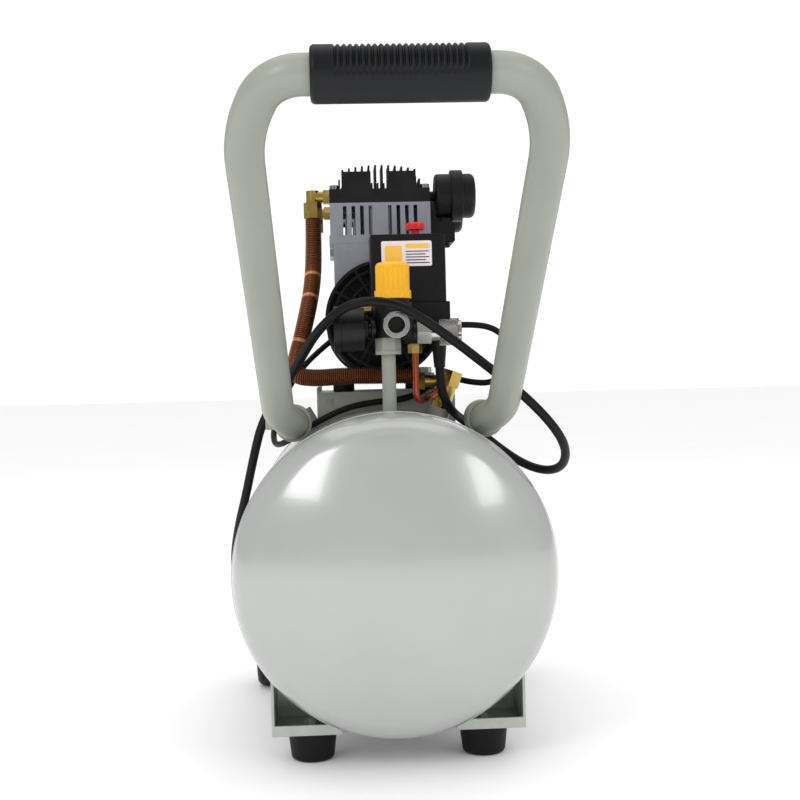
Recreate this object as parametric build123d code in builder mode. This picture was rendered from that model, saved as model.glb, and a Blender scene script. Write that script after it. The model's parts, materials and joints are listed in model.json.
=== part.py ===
from build123d import *
import os
from math import atan2, cos, radians, sin, sqrt, tan

os.makedirs("parts", exist_ok=True)

# Portable horizontal-tank air compressor: a twin-cylinder oil-free motor pump on a steel
# tank, with a bent handle at the front end and two wheels at the rear end.
# Frame: +X right, +Y back along the tank, +Z up, floor at z = 0, millimetres.

# ---- driving dimensions -------------------------------------------------------------
tank_r = 135.0          # outer radius of the shell
tank_len = 350.0        # shell, rim to rim
tank_wall = 2.5
tank_axis_z = 158.0
dome_knuckle_r = 32.0   # torispherical heads
dome_crown_r = 270.0

handle_tube_d = 27.0
handle_wall = 1.5
handle_top_forward = 238.0   # crossbar in front of the front rim
handle_top_z = 514.0
handle_leg_x = 105.0         # half distance between the legs at the crossbar
shoulder_drop = 45.0         # the corner is bent in two steps, a wide one and a tight one
shoulder_in = 22.0
shoulder_r = 115.0
handle_corner_r = 32.0
handle_knee_r = 40.0
knee_x = 94.0                # half distance between the legs just above the knees
knee_back = 14.0             # second knee corner, behind the front rim
knee_rise = 11.0
knee_run = 20.0
grip_d = 37.0
grip_len = 114.0
socket_wall = 2.2
socket_gap = 0.3             # between handle tube and socket bore
socket_len = 30.0
socket_back = 50.0           # socket mouth behind the front rim
socket_angle = 33.5          # degrees from the top of the tank

sheet = 2.5                  # pressed brackets
foot_x = 73.0
foot_back = 32.0
foot_h = 26.0
foot_top_r = 21.0
foot_bottom_r = 18.0
bracket_out_x = 106.0
bracket_in_x = 48.0
bracket_len = 56.0
bracket_start = 4.0
wheel_r = 37.5
wheel_width = 24.0
wheel_back = 300.0
wheel_bolt_r = 5.0
running_gap = 0.05
side_gap = 0.4

plate_half_w = 63.0
plate_top_z = 309.0
plate_start = 110.0
plate_end = 346.0

pump_axis_z = 375.5
pump_mid = 225.0             # middle of the motor pump behind the front rim
cylinder_pitch = 120.0       # between the two cylinder axes, along the shaft
crankcase_r = 48.0
crankcase_wall = 5.0
crankcase_depth = 60.0
mount_h = 10.0
block_half_w = 47.0
block_depth = 50.0
block_bottom_z = 447.0
block_top_z = 485.0
bore_r = 20.0
piston_gap = 0.4
crank_throw = 4.5
eccentric_r = 11.0
shaft_r = 6.0
bearing_r = 14.0
rotor_r = 27.0
stator_r = 47.0
guard_r = 53.5
guard_depth = 24.0
fan_r = 45.0
head_h = 13.0
chamber_h = 16.0
fin_top = 24.0
fin_count = 12
fin_pitch = 6.2
silencer_r = 21.0
silencer_len = 38.0

manifold_back = 38.0         # riser axis behind the front rim
riser_r = 6.0
manifold_z = 355.0
manifold_h = 33.0
manifold_r = 17.0
regulator_x = 5.0
knob_r = 15.8
knob_h = 31.0
gauge_r = 20.0
gauge_z = 363.0
coupler_z = 356.0
coupler_r = 11.4

switch_x0 = -12.5
switch_x1 = 53.0
switch_front = 60.0
switch_depth = 44.0
switch_bottom_z = 355.0
switch_split_z = 387.0
switch_top_z = 446.0

valve_angle = 19.3           # check valve, degrees from the top of the tank
valve_back = 90.0
hose_r = 8.0
lead_r = 2.8
cord_r = 4.0
unloader_r = 3.0

# ---- derived places ------------------------------------------------------------------
dome_c = sqrt((dome_crown_r - dome_knuckle_r) ** 2 - (tank_r - dome_knuckle_r) ** 2)
dome_depth = dome_crown_r - dome_c
reach_front = handle_top_forward + grip_d / 2
reach_back = tank_len + dome_depth
rim_y = (reach_front - reach_back) / 2      # the frame's origin is below the middle of the part

socket_r = handle_tube_d / 2 + socket_gap + socket_wall
socket_radial = tank_r + socket_r
socket_x = socket_radial * sin(radians(socket_angle))
socket_z = tank_axis_z + socket_radial * cos(radians(socket_angle))
front_cyl = pump_mid - cylinder_pitch / 2
rear_cyl = pump_mid + cylinder_pitch / 2
crankcase_front = front_cyl - crankcase_depth / 2
crankcase_rear_end = rear_cyl + crankcase_depth / 2


def at(x, back, z):
    return Vector(x, rim_y + back, z)


def facing_front(back, x=0.0, z=0.0):
    """Sketch plane with x right and y up; a negative extrusion goes to the back."""
    return Plane(origin=at(x, back, z), x_dir=(1, 0, 0), z_dir=(0, -1, 0))


def facing_right(x, back=0.0, z=0.0):
    return Plane(origin=at(x, back, z), x_dir=(0, 1, 0), z_dir=(1, 0, 0))


def facing_up(z, x=0.0, back=0.0):
    return Plane(origin=at(x, back, z), x_dir=(1, 0, 0), z_dir=(0, 0, 1))


def rod(plane, radius, length, bore=0.0):
    with BuildSketch(plane) as profile:
        Circle(radius)
        if bore > 0:
            Circle(bore, mode=Mode.SUBTRACT)
    extrude(profile.sketch, amount=length)


def hexagon(plane, across_flats, length, bore=0.0):
    with BuildSketch(plane) as profile:
        RegularPolygon(across_flats / 2, 6, major_radius=False)
        if bore > 0:
            Circle(bore, mode=Mode.SUBTRACT)
    extrude(profile.sketch, amount=length)


def hole(plane, radius, length):
    with BuildSketch(plane) as profile:
        Circle(radius)
    extrude(profile.sketch, amount=length, mode=Mode.SUBTRACT)


def block(x0, x1, back0, back1, z0, z1, mode=Mode.ADD):
    with Locations(at((x0 + x1) / 2, (back0 + back1) / 2, (z0 + z1) / 2)):
        Box(x1 - x0, back1 - back0, z1 - z0, mode=mode)


def clear_of_tank(back0, back1, radius=tank_r):
    """Cuts the tank's outer cylinder away, so that the piece sits on the shell."""
    hole(facing_front(back0, z=tank_axis_z), radius, back0 - back1)


def widest_bends(corners):
    """The largest arc that the two runs at each corner allow."""
    bends = []
    for i in range(1, len(corners) - 1):
        before = corners[i] - corners[i - 1]
        after = corners[i + 1] - corners[i]
        turn = before.get_angle(after)
        bends.append(0.45 * min(before.length, after.length) / tan(radians(turn / 2)))
    return bends


def tube_along(corners, radius, bore=0.0, bends=None):
    """Round tube on straight runs joined by tangent arcs; gives its length and the arcs."""
    bends = bends or widest_bends(corners)
    with BuildLine() as path:
        FilletPolyline(*corners, radius=bends)
    wire = path.wires()[0]
    with BuildSketch(Plane(origin=wire @ 0, z_dir=wire % 0)) as section:
        Circle(radius)
        if bore > 0:
            Circle(bore, mode=Mode.SUBTRACT)
    sweep(section.sketch, path=wire)
    return wire.length, bends


def save(piece, name):
    piece.part.label = name
    export_step(piece.part, f"parts/{name}.step")


# ---- tank ----------------------------------------------------------------------------
with BuildPart() as tank_shell:
    rod(facing_front(0, z=tank_axis_z), tank_r, -tank_len, bore=tank_r - tank_wall)
    hole(facing_up(tank_axis_z, back=manifold_back), riser_r - 2.0, tank_r + 5)
save(tank_shell, "tank_shell")

knuckle_angle = atan2(dome_c, tank_r - dome_knuckle_r)


def on_arc(centre_r, centre_d, radius, angle):
    return (centre_r + radius * cos(angle), centre_d + radius * sin(angle))


def tank_head(back, outward):
    """Dished head: a knuckle arc that runs into a flatter crown arc."""
    with BuildPart() as head:
        plane = Plane(origin=at(0, back, tank_axis_z), x_dir=(1, 0, 0), z_dir=(0, 0, outward))
        with BuildSketch(plane):
            with BuildLine():
                edge_r = tank_r - dome_knuckle_r
                outer_k = on_arc(edge_r, 0, dome_knuckle_r, knuckle_angle)
                inner_k = on_arc(edge_r, 0, dome_knuckle_r - tank_wall, knuckle_angle)
                mid = knuckle_angle / 2
                ThreePointArc((tank_r, 0), on_arc(edge_r, 0, dome_knuckle_r, mid), outer_k)
                rise = (knuckle_angle + radians(90)) / 2
                ThreePointArc(outer_k, on_arc(0, -dome_c, dome_crown_r, rise), (0, dome_depth))
                Line((0, dome_depth), (0, dome_depth - tank_wall))
                inner_crown = on_arc(0, -dome_c, dome_crown_r - tank_wall, rise)
                ThreePointArc((0, dome_depth - tank_wall), inner_crown, inner_k)
                inner_mid = on_arc(edge_r, 0, dome_knuckle_r - tank_wall, mid)
                ThreePointArc(inner_k, inner_mid, (tank_r - tank_wall, 0))
                Line((tank_r - tank_wall, 0), (tank_r, 0))
            make_face()
        revolve(axis=Axis(at(0, back, tank_axis_z), (0, 1, 0)))
    return head


tank_head_front = tank_head(0, -1)
save(tank_head_front, "tank_head_front")
tank_head_rear = tank_head(tank_len, 1)
save(tank_head_rear, "tank_head_rear")


def radial_plane(angle, back, radial):
    """Plane on a line out of the tank's axis, at an angle from the top, normal outwards."""
    turn = radians(angle)
    out = Vector(sin(turn), 0, cos(turn))
    return Plane(origin=at(0, back, tank_axis_z) + out * radial, x_dir=(0, 1, 0), z_dir=out)


bung_r = 10.0
bung_h = 8.0
spare_angle = -30.0
spare_back = 122.0
drain_back = 175.0
with BuildPart() as tank_bungs:
    rod(radial_plane(valve_angle, valve_back, tank_r - 4), bung_r, bung_h + 4)
    rod(radial_plane(spare_angle, spare_back, tank_r - 4), bung_r - 1, bung_h + 16)
    clear_of_tank(valve_back - 30, spare_back + 30)
save(tank_bungs, "tank_bungs")

# ---- handle --------------------------------------------------------------------------
lock_back = socket_back + 14
lock_bolt_r = 3.0
with BuildPart() as handle_sockets:
    for side in (-1, 1):
        plane = facing_front(socket_back, side * socket_x, socket_z)
        rod(plane, socket_r, -socket_len, bore=socket_r - socket_wall)
    hole(facing_right(-socket_x - socket_r - 2, lock_back, socket_z), lock_bolt_r + 0.1, socket_r)
save(handle_sockets, "handle_sockets")

handle_r = handle_tube_d / 2


def handle_side(side):
    knee = at(side * knee_x, knee_back, socket_z + knee_rise)
    top = at(side * handle_leg_x, -handle_top_forward, handle_top_z)
    return [
        at(side * socket_x, socket_back + socket_len - 5, socket_z),
        at(side * socket_x, knee_back + knee_run, socket_z),
        knee,
        top + (knee - top).normalized() * shoulder_drop,
        at(side * (handle_leg_x - shoulder_in), -handle_top_forward, handle_top_z),
    ]


with BuildPart() as handle_tube:
    handle_corners = handle_side(-1) + handle_side(1)[::-1]
    bends = [handle_knee_r, handle_knee_r, shoulder_r, handle_corner_r]
    tube_along(handle_corners, handle_r, handle_r - handle_wall, bends + bends[::-1])
save(handle_tube, "handle_tube")

with BuildPart() as handle_grip:
    grip_plane = facing_right(-grip_len / 2, -handle_top_forward, handle_top_z)
    rod(grip_plane, grip_d / 2, grip_len, bore=handle_r)
    fillet(handle_grip.edges().filter_by(GeomType.CIRCLE).group_by(SortBy.RADIUS)[-1], 1.5)
save(handle_grip, "handle_grip")

# ---- feet ----------------------------------------------------------------------------
foot_round = 4.0
with BuildPart() as rubber_feet:
    for side in (-1, 1):
        with BuildSketch(facing_up(0, side * foot_x, foot_back)):
            Circle(foot_bottom_r)
        with BuildSketch(facing_up(foot_h, side * foot_x, foot_back)):
            Circle(foot_top_r)
        loft()
    bottoms = rubber_feet.edges().filter_by(GeomType.CIRCLE).group_by(Axis.Z)[0]
    fillet(bottoms, foot_round)
    for side in (-1, 1):
        hole(facing_up(-1, side * foot_x, foot_back), 8.0, 12.0)
        hole(facing_up(5, side * foot_x, foot_back), 3.2, foot_h)
save(rubber_feet, "rubber_feet")


def bracket(side, start, length, lip_h):
    """Pressed sheet under the tank: floor, outer wall, saddle web and a low front lip."""
    outer, inner = side * bracket_out_x, side * bracket_in_x
    low_x, high_x = min(outer, inner), max(outer, inner)
    wall_x = sorted((outer, outer - side * sheet))
    web_top = tank_axis_z - 80.0
    block(low_x, high_x, start, start + length, foot_h, foot_h + sheet)
    block(wall_x[0], wall_x[1], start, start + length, foot_h, web_top + 20)
    block(low_x, high_x, start + length - sheet, start + length, foot_h, web_top + 20)
    block(low_x, high_x, start, start + sheet, foot_h, foot_h + lip_h)


with BuildPart() as foot_brackets:
    for side in (-1, 1):
        bracket(side, bracket_start, bracket_len, 9.0)
    clear_of_tank(bracket_start - 5, bracket_start + bracket_len + 5)
    for side in (-1, 1):
        hole(facing_up(foot_h - 1, side * foot_x, foot_back), 4.2, sheet + 2)
save(foot_brackets, "foot_brackets")

wheel_bracket_start = wheel_back - bracket_len / 2
with BuildPart() as wheel_brackets:
    for side in (-1, 1):
        bracket(side, wheel_bracket_start, bracket_len, 9.0)
    clear_of_tank(wheel_bracket_start - 5, wheel_bracket_start + bracket_len + 5)
    for side in (-1, 1):
        wall_plane = facing_right(side * bracket_out_x - sheet - 1, wheel_back, wheel_r)
        hole(wall_plane, wheel_bolt_r, 2 * sheet + 2)
save(wheel_brackets, "wheel_brackets")

# ---- wheels --------------------------------------------------------------------------
wheel_in_x = bracket_out_x + 4.5
collar_x = wheel_in_x - side_gap
wheel_out_x = wheel_in_x + wheel_width


def outward(side, x):
    """Plane across a wheel's axis, normal away from the tank."""
    return Plane(origin=at(side * x, wheel_back, wheel_r), x_dir=(0, 1, 0), z_dir=(side, 0, 0))


with BuildPart() as wheel_bolts:
    for side in (-1, 1):
        hexagon(outward(side, bracket_out_x - sheet - 7), 17.0, 7.0)
        rod(outward(side, bracket_out_x - sheet), wheel_bolt_r, wheel_out_x - bracket_out_x + sheet + 1)
        rod(outward(side, bracket_out_x), wheel_bolt_r + 4, collar_x - bracket_out_x)
        rod(outward(side, wheel_out_x + side_gap), wheel_bolt_r + 4, 1.5)
        hexagon(outward(side, wheel_out_x + side_gap + 1.5), 13.0, 4.5)
save(wheel_bolts, "wheel_bolts")


def wheel(side):
    with BuildPart() as wheel_part:
        plane = Plane(origin=at(0, wheel_back, wheel_r), x_dir=(side, 0, 0), z_dir=(0, -side, 0))
        rim, web = wheel_r - 9.0, 5.0
        mid_x = wheel_in_x + wheel_width / 2
        hub_r = wheel_bolt_r + 6
        bore = wheel_bolt_r + running_gap
        with BuildSketch(plane):
            with BuildLine():
                Polyline(
                    (wheel_in_x, bore), (wheel_out_x, bore), (wheel_out_x, hub_r),
                    (mid_x + web / 2, hub_r + 1), (mid_x + web / 2, rim), (wheel_out_x, rim + 1),
                    (wheel_out_x, wheel_r - 3), (wheel_out_x - 3, wheel_r),
                    (wheel_in_x + 3, wheel_r), (wheel_in_x, wheel_r - 3), (wheel_in_x, rim + 1),
                    (mid_x - web / 2, rim), (mid_x - web / 2, hub_r + 1), (wheel_in_x, hub_r),
                    close=True,
                )
            make_face()
        revolve(axis=Axis(at(0, wheel_back, wheel_r), (1, 0, 0)))
    return wheel_part


wheel_left = wheel(-1)
save(wheel_left, "wheel_left")
wheel_right = wheel(1)
save(wheel_right, "wheel_right")

# ---- drain ---------------------------------------------------------------------------
tank_bottom_z = tank_axis_z - tank_r
with BuildPart() as drain_valve:
    hexagon(facing_up(tank_bottom_z - 5.0, 0, drain_back), 16.0, 12.0)
    clear_of_tank(drain_back - 20, drain_back + 20)
    block(-5, 5, drain_back - 5, drain_back + 22, tank_bottom_z - 12.0, tank_bottom_z - 4.9)
    hole(facing_front(drain_back + 8, z=tank_bottom_z - 8.4), 2.0, -15)
save(drain_valve, "drain_valve")

drain_z = tank_bottom_z - 8.4
with BuildPart() as drain_knob:
    rod(facing_front(drain_back + 10, z=drain_z), 2.0 - running_gap, -13.5)
    rod(facing_front(drain_back + 22.5, z=drain_z), 7.0, -9.0)
    for turn in range(0, 360, 45):
        spot = (7.0 * cos(radians(turn)), drain_z + 7.0 * sin(radians(turn)))
        hole(facing_front(drain_back + 22, spot[0], spot[1]), 1.2, -11)
save(drain_knob, "drain_knob")

# ---- base plate and mounts -----------------------------------------------------------
mount_x = 38.0
mount_backs = (front_cyl - 12, rear_cyl + 12)
mount_spots = [(side * mount_x, back) for side in (-1, 1) for back in mount_backs]
bolt_r = 4.0
bolt_clear = 0.2
lip_up = 5.0
saddle_hole_x = 51.0
with BuildPart() as base_plate:
    under = plate_top_z - sheet
    block(-plate_half_w, plate_half_w, plate_start, plate_end, under, plate_top_z)
    for end in (plate_start, plate_end - sheet):
        block(-plate_half_w, plate_half_w, end, end + sheet, tank_axis_z + 80, plate_top_z)
    for side in (-1, 1):
        inner, outer = side * (plate_half_w - sheet), side * plate_half_w
        low, high = min(inner, outer), max(inner, outer)
        block(low, high, plate_start, plate_end, under, plate_top_z + lip_up)
    clear_of_tank(plate_start - 5, plate_end + 5)
    for x, back in mount_spots:
        hole(facing_up(under - 1, x, back), bolt_r + bolt_clear, sheet + 2)
    for side in (-1, 1):
        spot = side * saddle_hole_x
        block(spot - 3.5, spot + 3.5, plate_start - 1, plate_start + sheet + 1,
              plate_top_z - 13, plate_top_z - 6, Mode.SUBTRACT)
save(base_plate, "base_plate")

with BuildPart() as vibration_mounts:
    for x, back in mount_spots:
        rod(facing_up(plate_top_z, x, back), 10.0, mount_h, bore=bolt_r + bolt_clear)
save(vibration_mounts, "vibration_mounts")

lug_h = 6.0
lug_z = plate_top_z + mount_h
with BuildPart() as hex_bolts:
    for x, back in mount_spots:
        rod(facing_up(under - 8, x, back), bolt_r, sheet + mount_h + lug_h + 9)
        hexagon(facing_up(under - 6.5, x, back), 13.0, 6.5)
        hexagon(facing_up(lug_z + lug_h, x, back), 13.0, 5.5)
    for side in (-1, 1):
        x = side * foot_x
        rod(facing_up(8.5, x, foot_back), 3.0, foot_h + sheet - 5)
        hexagon(facing_up(5.0, x, foot_back), 10.0, 4.0)
        hexagon(facing_up(foot_h + sheet, x, foot_back), 10.0, 5.0)
    lock_x = socket_x + socket_r
    rod(facing_right(-lock_x - 4, lock_back, socket_z), lock_bolt_r, 4 + socket_wall)
    hexagon(facing_right(-lock_x - 8, lock_back, socket_z), 11.0, 7.5)
save(hex_bolts, "hex_bolts")

# ---- riser pipe, check valve ---------------------------------------------------------
with BuildPart() as riser_pipe:
    rod(facing_up(tank_axis_z, back=manifold_back), riser_r, manifold_z - 3 - tank_axis_z, bore=riser_r - 2)
    clear_of_tank(manifold_back - 20, manifold_back + 20)
save(riser_pipe, "riser_pipe")

with BuildPart() as riser_nut:
    hexagon(facing_up(manifold_z - 14, back=manifold_back), 19.0, 14, bore=riser_r)
    with BuildSketch(facing_up(manifold_z - 14, back=manifold_back)):
        Circle(11.0)
        Circle(riser_r, mode=Mode.SUBTRACT)
    extrude(amount=3)
save(riser_nut, "riser_nut")

valve_base = tank_r + bung_h
port_radial = valve_base + 26
port_z = tank_axis_z + port_radial * cos(radians(valve_angle))
port_x = port_radial * sin(radians(valve_angle))
port_end_x = 24.0
pilot_radial = valve_base + 20
pilot = at(pilot_radial * sin(radians(valve_angle)), valve_back,
           tank_axis_z + pilot_radial * cos(radians(valve_angle)))
unloader_x = 26.0
unloader_back = 62.0
pilot_corner = at(unloader_x - 1.5, unloader_back, pilot.Z - 14.5)
pilot_reach = 16.0
with BuildPart() as check_valve:
    rod(radial_plane(valve_angle, valve_back, valve_base), 8.5, 34)
    hexagon(radial_plane(valve_angle, valve_back, valve_base + 21), 19.0, 14)
    hexagon(radial_plane(valve_angle, valve_back, valve_base), 17.0, 5)
    rod(facing_right(port_end_x, valve_back, port_z), 5.5, port_x - port_end_x)
    hexagon(facing_right(port_end_x, valve_back, port_z), 15.0, 10)
    rod(Plane(origin=pilot, z_dir=pilot_corner - pilot), 3.8, pilot_reach)
save(check_valve, "check_valve")

# ---- motor pump ----------------------------------------------------------------------
end_wall = 8.0
neck_half_w = block_half_w - 3
big_end_r = crank_throw * 2 + eccentric_r + 0.5


def crankcase(cyl_back):
    """Cast housing round one crank, open upwards into its cylinder."""
    start, end = cyl_back - crankcase_depth / 2, cyl_back + crankcase_depth / 2
    with BuildPart() as casting:
        rod(facing_front(start, z=pump_axis_z), crankcase_r, start - end)
        block(-neck_half_w, neck_half_w, cyl_back - 26, cyl_back + 26,
              pump_axis_z + 10, block_bottom_z)
        block(-20, 20, start, end, lug_z, pump_axis_z - 30)
        block(-mount_x - 9, mount_x + 9, cyl_back - 26, cyl_back + 26, lug_z, lug_z + lug_h)
        cavity_r = crankcase_r - crankcase_wall
        hole(facing_front(start + end_wall, z=pump_axis_z), cavity_r, start - end + 2 * end_wall)
        hole(facing_up(pump_axis_z, back=cyl_back), bore_r, block_bottom_z)
        hole(facing_front(start - 1, z=pump_axis_z), bearing_r, start - end - 2)
        for x, back in mount_spots:
            hole(facing_up(lug_z - 1, x, back), bolt_r + bolt_clear, lug_h + 2)
    return casting


crankcase_1 = crankcase(front_cyl)
save(crankcase_1, "crankcase_front")
crankcase_2 = crankcase(rear_cyl)
save(crankcase_2, "crankcase_rear")

stator_start = front_cyl + crankcase_depth / 2
stator_end = rear_cyl - crankcase_depth / 2
with BuildPart() as stator_core:
    rod(facing_front(stator_start, z=pump_axis_z), stator_r, stator_start - stator_end, bore=rotor_r + 1)
save(stator_core, "stator_core")

with BuildPart() as rotor_bearings:
    for case in (crankcase_front, rear_cyl - crankcase_depth / 2):
        for start in (case, case + crankcase_depth - end_wall):
            bore = shaft_r + running_gap
            rod(facing_front(start, z=pump_axis_z), bearing_r, -end_wall, bore=bore)
save(rotor_bearings, "rotor_bearings")

guard_front = crankcase_front - guard_depth
guard_back = crankcase_rear_end + guard_depth
with BuildPart() as rotor_shaft:
    rod(facing_front(guard_front + 3.5, z=pump_axis_z), shaft_r, guard_front - guard_back + 7)
    rod(facing_front(stator_start + 4, z=pump_axis_z), rotor_r, stator_start - stator_end + 8)
    for cyl_back, throw in ((front_cyl, crank_throw), (rear_cyl, -crank_throw)):
        rod(facing_front(cyl_back - 5, throw, pump_axis_z), eccentric_r, -10)
save(rotor_shaft, "rotor_shaft")

rod_half = 4.5
crown_low = 462.0
crown_h = 8.0


def piston(cyl_back):
    """Rigid cup piston and rod, drawn at the middle of its stroke."""
    with BuildPart() as piston_part:
        rod(facing_up(crown_low, back=cyl_back), bore_r - piston_gap, crown_h)
        block(-6, 6, cyl_back - rod_half, cyl_back + rod_half, pump_axis_z + big_end_r + 1, crown_low)
        ring_plane = facing_front(cyl_back - rod_half, z=pump_axis_z)
        rod(ring_plane, big_end_r + 4.5, -2 * rod_half)
        hole(ring_plane, big_end_r, -2 * rod_half)
    return piston_part


piston_1 = piston(front_cyl)
save(piston_1, "piston_front")
piston_2 = piston(rear_cyl)
save(piston_2, "piston_rear")

flange_h = 8.0
slot_w = 3.4
slot_pitch = 8.0
slot_groups = (-21.0, 21.0)


def cylinder_block(cyl_back):
    """Cast cooling jacket with window slots round a pressed-in liner."""
    start, end = cyl_back - block_depth / 2, cyl_back + block_depth / 2
    floor = block_bottom_z + flange_h
    wall = 4.0
    with BuildPart() as casting:
        block(-block_half_w, block_half_w, start, end, block_bottom_z, block_top_z)
        block(-block_half_w - 1, block_half_w + 1, start - 1, end + 1, block_bottom_z, floor)
        block(wall - block_half_w, block_half_w - wall, start + wall, end - wall,
              floor, block_top_z, Mode.SUBTRACT)
        for group in slot_groups:
            for step in range(4):
                x = group + (step - 1.5) * slot_pitch
                block(x - slot_w / 2, x + slot_w / 2, start - 2, end + 2,
                      floor, block_top_z - 3, Mode.SUBTRACT)
        rod(facing_up(floor, back=cyl_back), bore_r + 2.5, block_top_z - floor)
        hole(facing_up(block_bottom_z - 1, back=cyl_back), bore_r, block_top_z - block_bottom_z + 2)
    return casting


block_1 = cylinder_block(front_cyl)
save(block_1, "cylinder_block_front")
block_2 = cylinder_block(rear_cyl)
save(block_2, "cylinder_block_rear")

head_top = block_top_z + head_h
port_level = block_top_z + 9.0
chamber_x = 21.0
chamber_w = 26.0
screw_x = block_half_w - 4.5
screw_backs = (6.0, block_depth - 6.0)
fin_w = 1.8


def cylinder_head(cyl_back, face):
    """Cast head: two valve chambers at its outer end and a field of fins behind them."""
    start = cyl_back - face * block_depth / 2

    def strip(x0, x1, near, far, z0, z1):
        ends = sorted((start + face * near, start + face * far))
        block(x0, x1, ends[0], ends[1], z0, z1)

    with BuildPart() as casting:
        strip(-block_half_w, block_half_w, 0, block_depth, block_top_z, head_top)
        for side in (-1, 1):
            x = side * chamber_x
            strip(x - chamber_w / 2, x + chamber_w / 2, 0, 13, head_top, head_top + chamber_h)
            for step in range(2):
                fin_x = side * (block_half_w - 9.5 - 3.6 * step)
                strip(fin_x - 0.8, fin_x + 0.8, 2, block_depth - 12, head_top, head_top + 9 + 2 * step)
        for step in range(fin_count):
            x = (step - (fin_count - 1) / 2) * fin_pitch
            arch = 5.0 * (x / (fin_count * fin_pitch / 2)) ** 2
            strip(x - fin_w / 2, x + fin_w / 2, 13, block_depth - 3, head_top, head_top + fin_top - arch)
        for back in (start + face * near for near in screw_backs):
            for side in (-1, 1):
                hole(facing_up(block_top_z - 1, side * screw_x, back), 2.6, head_h + 2)
    return casting


head_1 = cylinder_head(front_cyl, 1)
save(head_1, "cylinder_head_front")
head_2 = cylinder_head(rear_cyl, -1)
save(head_2, "cylinder_head_rear")

with BuildPart() as head_screws:
    for cyl_back, face in ((front_cyl, 1), (rear_cyl, -1)):
        for near in screw_backs:
            back = cyl_back + face * (near - block_depth / 2)
            for side in (-1, 1):
                rod(facing_up(block_top_z, side * screw_x, back), 2.5, head_h)
                rod(facing_up(head_top, side * screw_x, back), 4.2, 4.0)
save(head_screws, "head_screws")


# Centrifugal fans pressed on both shaft ends: a back plate with straight vanes.
with BuildPart() as cooling_fans:
    for back_plate, face in ((crankcase_front - 4, 1), (crankcase_rear_end + 4, -1)):
        plane = Plane(origin=at(0, back_plate, pump_axis_z), x_dir=(1, 0, 0), z_dir=(0, -face, 0))
        rod(plane, fan_r, 2.0, bore=shaft_r)
        rod(plane, 12.0, 14.0, bore=shaft_r)
        with BuildSketch(plane.offset(2.0)):
            with PolarLocations(28.0, 16):
                Rectangle(33.0, 2.0)
        extrude(amount=10.0)
save(cooling_fans, "cooling_fans")


def fan_guard(face_back, face):
    """Moulded cover: a deep rim with rings and spokes over its face."""
    with BuildPart() as guard:
        plane = Plane(origin=at(0, face_back, pump_axis_z), x_dir=(1, 0, 0), z_dir=(0, face, 0))
        rod(plane, guard_r, guard_depth, bore=guard_r - 2)
        rod(plane.offset(guard_depth - 2), guard_r, 2.0, bore=crankcase_r - 2)
        rod(plane, 13.0, 2.0)
        for ring_r in (24.0, 35.0, 46.0, guard_r - 1):
            rod(plane, ring_r, 2.0, bore=ring_r - 2)
        with BuildSketch(plane):
            with PolarLocations(32.0, 12):
                Rectangle(40.0, 2.2)
        extrude(amount=2.0)
    return guard


guard_1 = fan_guard(guard_front, 1)
save(guard_1, "fan_guard_front")
guard_2 = fan_guard(guard_back, -1)
save(guard_2, "fan_guard_rear")

box_back = front_cyl - 10
with BuildPart() as capacitor_box:
    block(block_half_w + 1, 71, box_back, box_back + 52, 448, 467.5)
    fillet(capacitor_box.edges().filter_by(Axis.Y), 2.5)
    rod(facing_up(444, 63, box_back + 8), 3.5, 5)
    rod(facing_right(block_half_w, box_back + 26, 460), 5.0, 2)
save(capacitor_box, "capacitor_box")

# ---- intake and discharge ------------------------------------------------------------
silencer_x = block_half_w + 6
silencer_z = block_top_z + 8


def silencer(cyl_back):
    with BuildPart() as canister:
        rod(facing_right(block_half_w, cyl_back, silencer_z), 4.8, 8)
        rod(facing_right(silencer_x, cyl_back, silencer_z), silencer_r, silencer_len)
        rod(facing_right(silencer_x + 15, cyl_back, silencer_z), silencer_r + 3.5, 11)
        circles = canister.edges().filter_by(GeomType.CIRCLE)
        ends = [e for e in circles if abs(e.radius - silencer_r) < 0.1]
        fillet([e for e in ends if abs(e.center().X - silencer_x - silencer_len) < 0.1], 5.0)
        fillet([e for e in ends if abs(e.center().X - silencer_x) < 0.1], 3.0)
    return canister


silencer_1 = silencer(front_cyl)
save(silencer_1, "intake_silencer_front")
silencer_2 = silencer(rear_cyl)
save(silencer_2, "intake_silencer_rear")

elbow_x = block_half_w + 16
elbow_r = 5.5
nut_top = port_level - 5
nut_h = 15.0
with BuildPart() as discharge_fittings:
    for cyl_back in (front_cyl, rear_cyl):
        rod(facing_right(-elbow_x, cyl_back, port_level), elbow_r, elbow_x - block_half_w)
        hexagon(facing_right(-block_half_w - 6, cyl_back, port_level), 13.0, 6)
        rod(facing_up(nut_top, -elbow_x, cyl_back), elbow_r + 0.5, 11)
        hexagon(facing_up(nut_top - nut_h, -elbow_x, cyl_back), 15.0, nut_h)
save(discharge_fittings, "discharge_fittings")

hose_points = [
    at(-elbow_x, front_cyl, nut_top - nut_h),
    at(-elbow_x, front_cyl, 442),
    at(-65, front_cyl - 19, 407),
    at(-73, front_cyl - 39, 370),
    at(-80, valve_back + 31, 345),
    at(-84, valve_back + 16, 325),
    at(-63, valve_back + 9, port_z - 1),
    at(-38, valve_back + 3, port_z + 1),
    at(-10, valve_back, port_z),
    at(port_end_x, valve_back, port_z),
]
with BuildPart() as discharge_hose:
    hose_length, hose_radii = tube_along(hose_points, hose_r, hose_r - 2.5)
save(discharge_hose, "discharge_hose")
print("discharge hose", round(hose_length), [round(r, 1) for r in hose_radii])

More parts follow.
